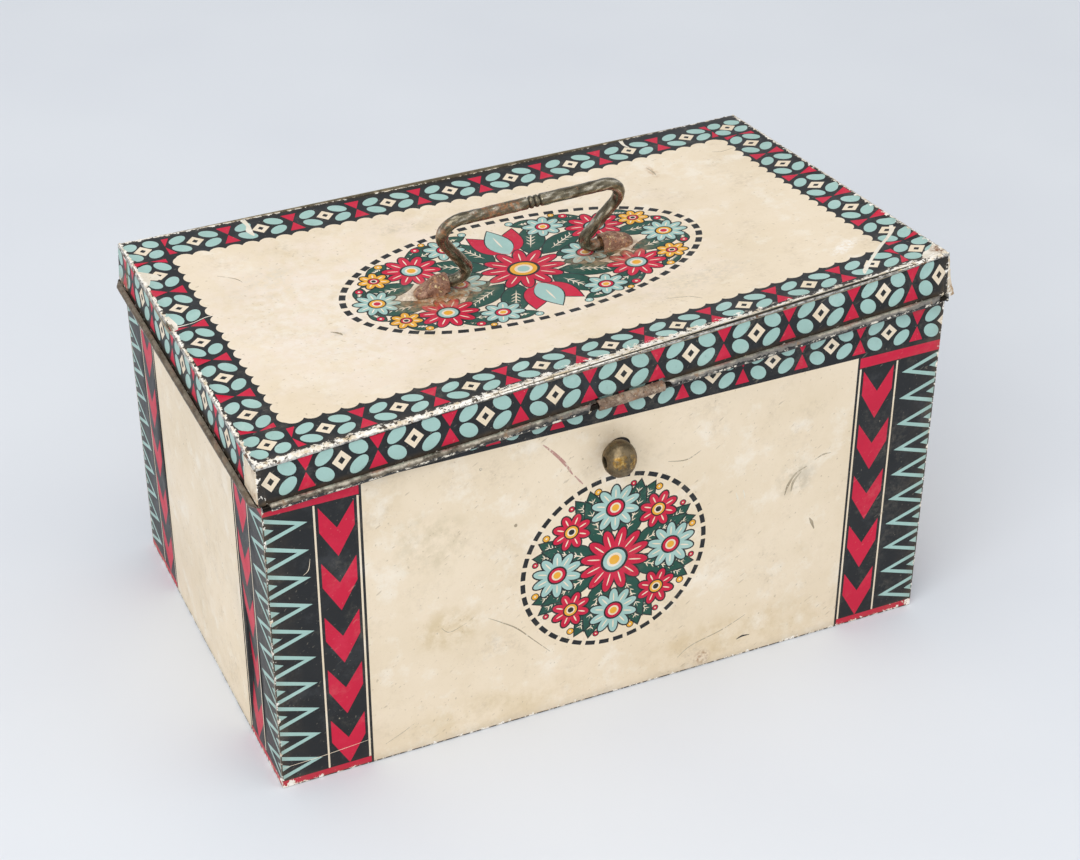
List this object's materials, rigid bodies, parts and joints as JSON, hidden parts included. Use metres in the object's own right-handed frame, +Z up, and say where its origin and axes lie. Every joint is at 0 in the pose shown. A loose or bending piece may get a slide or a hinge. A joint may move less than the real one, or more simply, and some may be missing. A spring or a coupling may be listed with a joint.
{
  "type": "tin box",
  "caption": "Printed tinplate box with a wire-hinged lid, a folding bail handle on the lid and a cross-drilled ball knob on the front.",
  "frame": {"origin": "centre of the box's underside", "axes": "+X along the box's length, -Y towards the front with the knob, +Z up"},
  "size_m": [0.3296, 0.219, 0.2165],
  "materials": {
    "printed_tin": "worn satin print on tinplate",
    "bare_tin": "dull, stained tinplate",
    "rusty_iron": "rusted sheet iron",
    "dark_iron": "dark worn iron wire",
    "old_brass": "tarnished brass"
  },
  "bodies": {
    "box": {"front_panel": "printed_tin", "back_panel": "printed_tin", "left_end_panel": "printed_tin", "right_end_panel": "printed_tin", "bottom_plate": "bare_tin", "hinge_strap_left": "rusty_iron", "hinge_strap_right": "rusty_iron", "hinge_rivets": "rusty_iron", "ball_knob": "old_brass", "knob_washer": "rusty_iron"},
    "lid": {"lid_top": "printed_tin", "lid_front_skirt": "printed_tin", "lid_back_skirt": "printed_tin", "lid_left_skirt": "printed_tin", "lid_right_skirt": "printed_tin", "lid_front_wire": "dark_iron", "lid_left_wire": "dark_iron", "lid_right_wire": "dark_iron", "hinge_wire": "dark_iron", "handle_lug_left": "rusty_iron", "handle_lug_right": "rusty_iron"},
    "handle": {"carry_handle": "dark_iron"},
    "hasp": {"hasp_knuckle": "rusty_iron"}
  },
  "joints": [
    {"name": "lid_hinge", "type": "hinge", "parent": "box", "child": "lid", "pos_m": [0, 0.10178, 0.15075], "axis": [-1, 0, 0], "range_deg": [0, 180]},
    {"name": "handle_swing", "type": "hinge", "parent": "lid", "child": "handle", "pos_m": [-0.00012, -0.00037, 0.17524], "axis": [0.9994, 0, 0.0355], "range_deg": [-109, 65.5]},
    {"name": "hasp_turn", "type": "hinge", "parent": "lid", "child": "hasp", "pos_m": [0.003, -0.1029, 0.16246], "axis": [0.9975, 0, 0.0709], "continuous": true}
  ]
}
